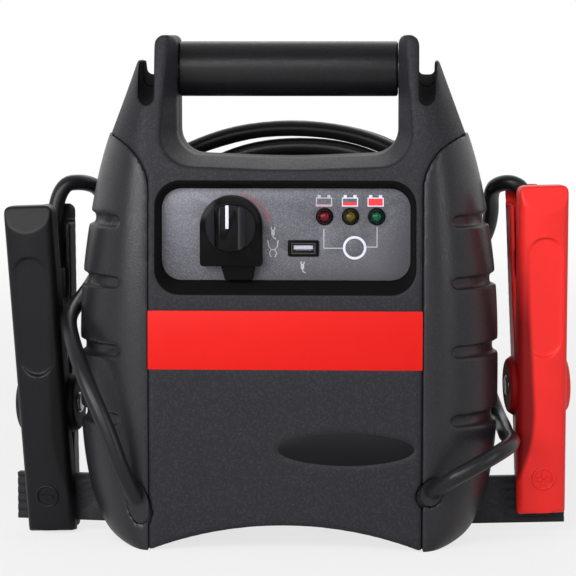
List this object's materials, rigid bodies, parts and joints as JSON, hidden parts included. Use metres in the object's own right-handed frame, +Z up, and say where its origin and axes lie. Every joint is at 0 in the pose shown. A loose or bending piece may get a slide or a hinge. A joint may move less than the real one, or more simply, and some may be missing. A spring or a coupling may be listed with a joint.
{
  "type": "jump starter pack",
  "caption": "Portable jump starter pack with carry grip, control panel, wound leads and two battery clamps parked on side lugs.",
  "frame": {"origin": "on the floor under the middle of the outline of case and clamps, the leads left out", "axes": "+Z up, +X to the right as seen from the control panel, -Y towards the person at the control panel"},
  "size_m": [0.3224, 0.1595, 0.286],
  "materials": {
    "case": "fine grained black moulding",
    "bumper": "fine grained soft black",
    "grip": "fine grained soft black",
    "panel": "speckled silver grey",
    "red": "bright red, satin",
    "badge": "smooth black",
    "knob": "glossy black",
    "white": "white",
    "shroud": "black, satin",
    "red_lens": "clear red",
    "yellow_lens": "clear yellow",
    "green_lens": "clear green",
    "steel": "bright zinc",
    "copper": "copper plated",
    "board": "green lacquer",
    "battery": "dark grey moulding",
    "clamp_black": "satin black",
    "clamp_red": "satin red",
    "lead": "smooth black jacket"
  },
  "bodies": {
    "pack": {"front_shell": "case", "rear_shell": "case", "left_bumper": "bumper", "right_bumper": "bumper", "red_band": "red", "badge_plate": "badge", "housing_screws": "steel", "handle_core": "steel", "handle_grip": "grip", "battery_case": "battery", "battery_lid": "battery", "battery_terminals": "copper", "battery_link": "copper", "cable_cleat_top": "case", "cable_cleat_low": "case", "left_lug": "case", "right_lug": "case", "left_gland": "lead", "right_gland": "lead", "charge_inlet": "case", "inlet_cover": "bumper", "control_panel": "panel", "switch_shroud": "shroud", "switch_body": "case", "usb_frame": "shroud", "usb_can": "steel", "usb_tongue": "white", "red_led": "red_lens", "yellow_led": "yellow_lens", "green_led": "green_lens", "circuit_board": "board", "left_clamp_rear": "clamp_black", "left_clamp_pin": "steel", "left_clamp_spring": "steel", "left_rear_jaw": "copper", "left_clamp_boot": "lead", "left_lead_lower": "lead", "left_lead_coil": "lead", "left_lead_upper": "lead", "right_clamp_rear": "clamp_red", "right_clamp_pin": "steel", "right_clamp_spring": "steel", "right_rear_jaw": "copper", "right_clamp_boot": "lead", "right_lead_lower": "lead", "right_lead_coil": "lead", "right_lead_upper": "lead"},
    "knob": {"power_knob": "knob", "knob_pointer": "white", "switch_shaft": "steel"},
    "button": {"test_button": "panel"},
    "left_lever": {"left_clamp_front": "clamp_black", "left_front_jaw": "copper"},
    "right_lever": {"right_clamp_front": "clamp_red", "right_front_jaw": "copper"}
  },
  "joints": [
    {"name": "power_switch", "type": "hinge", "parent": "pack", "child": "knob", "pos_m": [-0.02967, -0.06315, 0.1804], "axis": [0, 1, 0], "range_deg": [0, 120]},
    {"name": "test_press", "type": "slide", "parent": "pack", "child": "button", "axis": [0, 1, 0], "range_m": [0, 0.0008], "stiffness_N_per_m": 400, "springref_m": -0.0015},
    {"name": "left_squeeze", "type": "hinge", "parent": "pack", "child": "left_lever", "pos_m": [-0.13797, 0.00185, 0.074], "axis": [-0.9882, 0.1477, -0.0401], "range_deg": [0, 16], "stiffness_Nm_per_rad": 2, "springref_deg": -20.05, "deforming": ["left_clamp_spring"]},
    {"name": "right_squeeze", "type": "hinge", "parent": "pack", "child": "right_lever", "pos_m": [0.14193, 0.00185, 0.086], "axis": [-0.9888, -0.1478, -0.0192], "range_deg": [0, 16], "stiffness_Nm_per_rad": 2, "springref_deg": -20.05, "deforming": ["right_clamp_spring"]}
  ]
}
